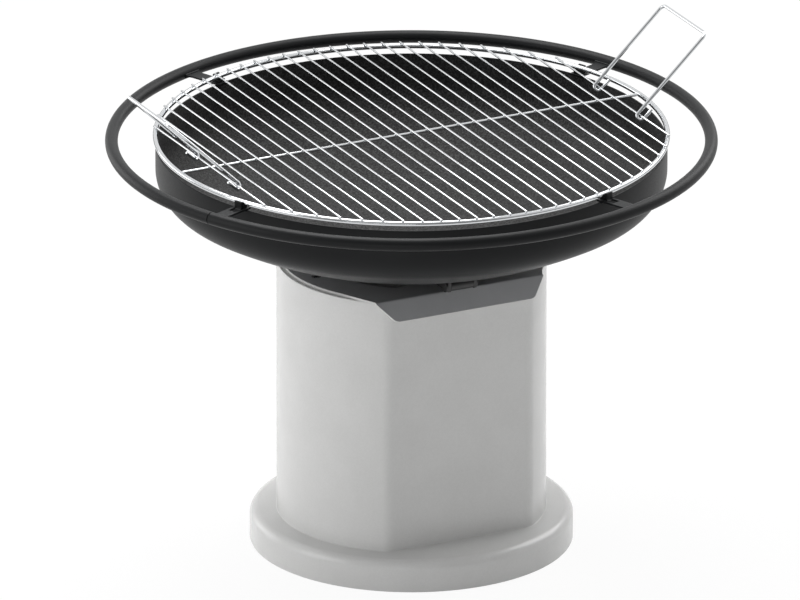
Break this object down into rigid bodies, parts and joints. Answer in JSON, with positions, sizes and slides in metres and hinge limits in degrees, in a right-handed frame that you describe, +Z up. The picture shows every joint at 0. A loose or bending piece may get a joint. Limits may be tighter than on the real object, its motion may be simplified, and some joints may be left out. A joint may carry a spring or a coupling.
{
  "type": "fire bowl grill",
  "caption": "Steel fire bowl with a ring rail and lift-off wire grid, hinged to tip forward on a hollow cast concrete pedestal; chrome bail handles fold over the grid.",
  "frame": {"origin": "on the ground, under the middle of the bowl", "axes": "+Z up; -Y is the pedestal's flat front, over which the bowl tips; +X is the object's left-to-right direction seen from the front"},
  "size_m": [0.9499, 0.95, 0.7881],
  "materials": {
    "cast_concrete": "fine cast concrete, matt",
    "coated_plate": "satin dark grey coating",
    "satin_black_steel": "satin black heat-proof coating",
    "blackened_steel": "matt black",
    "plain_steel": "zinc-plated",
    "black_rubber": "matt",
    "chrome": "bright chrome plate"
  },
  "bodies": {
    "pedestal": {"concrete_pedestal": "cast_concrete", "screw_sleeves": "plain_steel", "top_plate": "coated_plate", "plate_screws": "blackened_steel", "hinge_knuckle": "blackened_steel", "hinge_pin": "blackened_steel", "pin_retaining_ring": "blackened_steel", "rest_buffers": "black_rubber"},
    "bowl": {"fire_bowl": "satin_black_steel", "ring_rail": "satin_black_steel", "bracket_back_right": "satin_black_steel", "bracket_back_left": "satin_black_steel", "bracket_front_left": "satin_black_steel", "bracket_front_right": "satin_black_steel", "grid_seats": "satin_black_steel", "hinge_ear_left": "blackened_steel", "hinge_ear_right": "blackened_steel", "rest_posts": "blackened_steel"},
    "grid": {"grid_ring": "chrome", "grid_wires": "chrome", "grid_crossbar": "chrome"},
    "left_bail": {"handle_left": "chrome"},
    "right_bail": {"handle_right": "chrome"}
  },
  "joints": [
    {"name": "bowl_tilt", "type": "hinge", "parent": "pedestal", "child": "bowl", "pos_m": [0, -0.172, 0.473], "axis": [1, 0, 0], "range_deg": [0, 80]},
    {"name": "grid_lift", "type": "slide", "parent": "bowl", "child": "grid", "axis": [0, 0, 1], "range_m": [0, 0.12]},
    {"name": "left_handle_fold", "type": "hinge", "parent": "grid", "child": "left_bail", "pos_m": [-0.3484, -0.0215, 0.6696], "axis": [0, 1, 0], "range_deg": [0, 116]},
    {"name": "right_handle_fold", "type": "hinge", "parent": "grid", "child": "right_bail", "pos_m": [0.3484, -0.0215, 0.6696], "axis": [0, -1, 0], "range_deg": [0, 116]}
  ]
}
